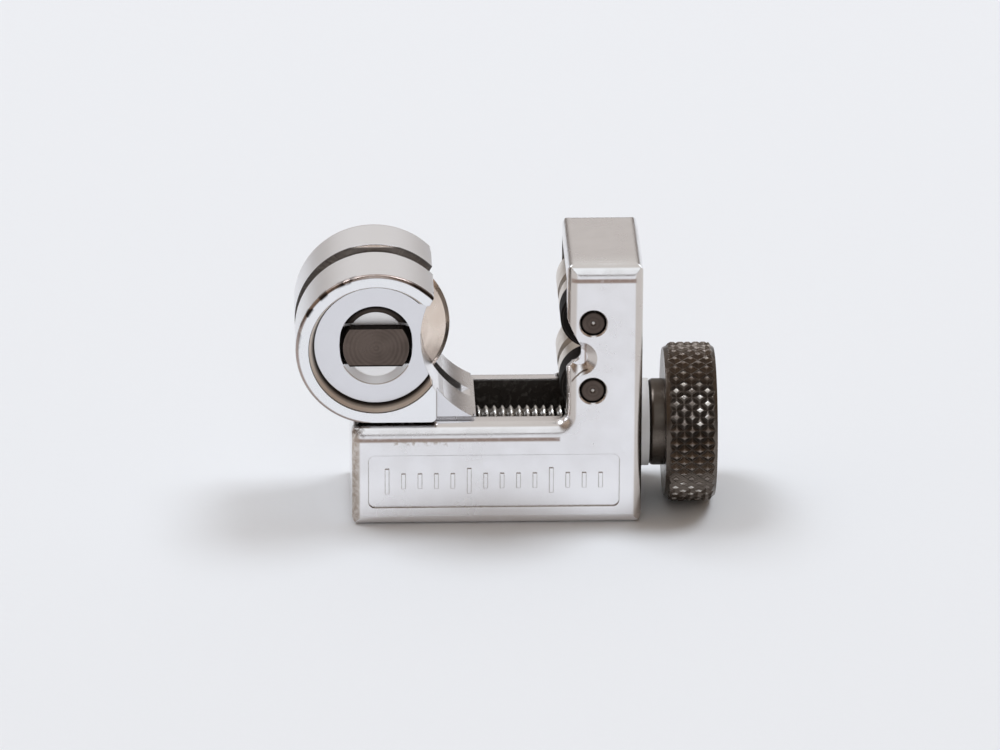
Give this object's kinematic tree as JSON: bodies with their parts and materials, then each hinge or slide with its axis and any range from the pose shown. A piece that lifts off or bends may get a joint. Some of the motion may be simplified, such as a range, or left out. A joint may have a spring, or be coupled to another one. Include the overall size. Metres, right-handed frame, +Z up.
{
  "type": "mini tube cutter",
  "caption": "L-shaped cast frame with grooved rollers and a screw-driven slider that carries a round cutter wheel, turned by a knurled knob, for cutting small copper tube.",
  "frame": {"origin": "middle of the frame's flat bottom face", "axes": "+X along the bar towards the knob, -Y is the front with the sunken panel, +Z up"},
  "size_m": [0.0584, 0.0222, 0.0385],
  "materials": {
    "cast_frame": "satin nickel plate on zinc casting",
    "cast_slider": "satin nickel plate on zinc casting",
    "wheel_steel": "ground tool steel",
    "dark_steel": "black oxide, oiled",
    "roller_steel": "hardened steel, worn bright where tube runs",
    "screw_steel": "bright steel with a film of grease",
    "knob_steel": "black oxide over a diamond knurl",
    "nylon": "natural white nylon"
  },
  "bodies": {
    "frame": {"frame": "cast_frame", "upper_roller_pin": "dark_steel", "lower_roller_pin": "dark_steel"},
    "slider": {"slider": "cast_slider", "wheel_pin": "dark_steel", "wheel_pin_clip": "dark_steel"},
    "cutter_wheel": {"cutter_wheel": "wheel_steel"},
    "upper_roller": {"upper_roller": "roller_steel"},
    "lower_roller": {"lower_roller": "roller_steel"},
    "screw": {"feed_screw": "screw_steel", "screw_clip": "dark_steel", "clip_washer": "screw_steel", "thrust_washer": "nylon", "knob": "knob_steel"}
  },
  "joints": [
    {"name": "slider_slide", "type": "slide", "parent": "frame", "child": "slider", "axis": [1, 0, 0], "range_m": [0, 0.015]},
    {"name": "knob_turn", "type": "hinge", "parent": "frame", "child": "screw", "pos_m": [0, 0, 0.0112], "axis": [-1, 0, 0], "range_deg": [0, 4695.7]},
    {"name": "wheel_spin", "type": "hinge", "parent": "slider", "child": "cutter_wheel", "pos_m": [-0.0167, 0.0005, 0.0262], "axis": [0, 1, 0], "continuous": true},
    {"name": "upper_roller_spin", "type": "hinge", "parent": "frame", "child": "upper_roller", "pos_m": [0.01322, 0, 0.0299], "axis": [0, 1, 0], "continuous": true},
    {"name": "lower_roller_spin", "type": "hinge", "parent": "frame", "child": "lower_roller", "pos_m": [0.01322, 0, 0.0199], "axis": [0, 1, 0], "continuous": true}
  ],
  "couplings": [
    {"joint": "knob_turn", "follows": "slider_slide", "rad_per_m": 5463.6}
  ]
}
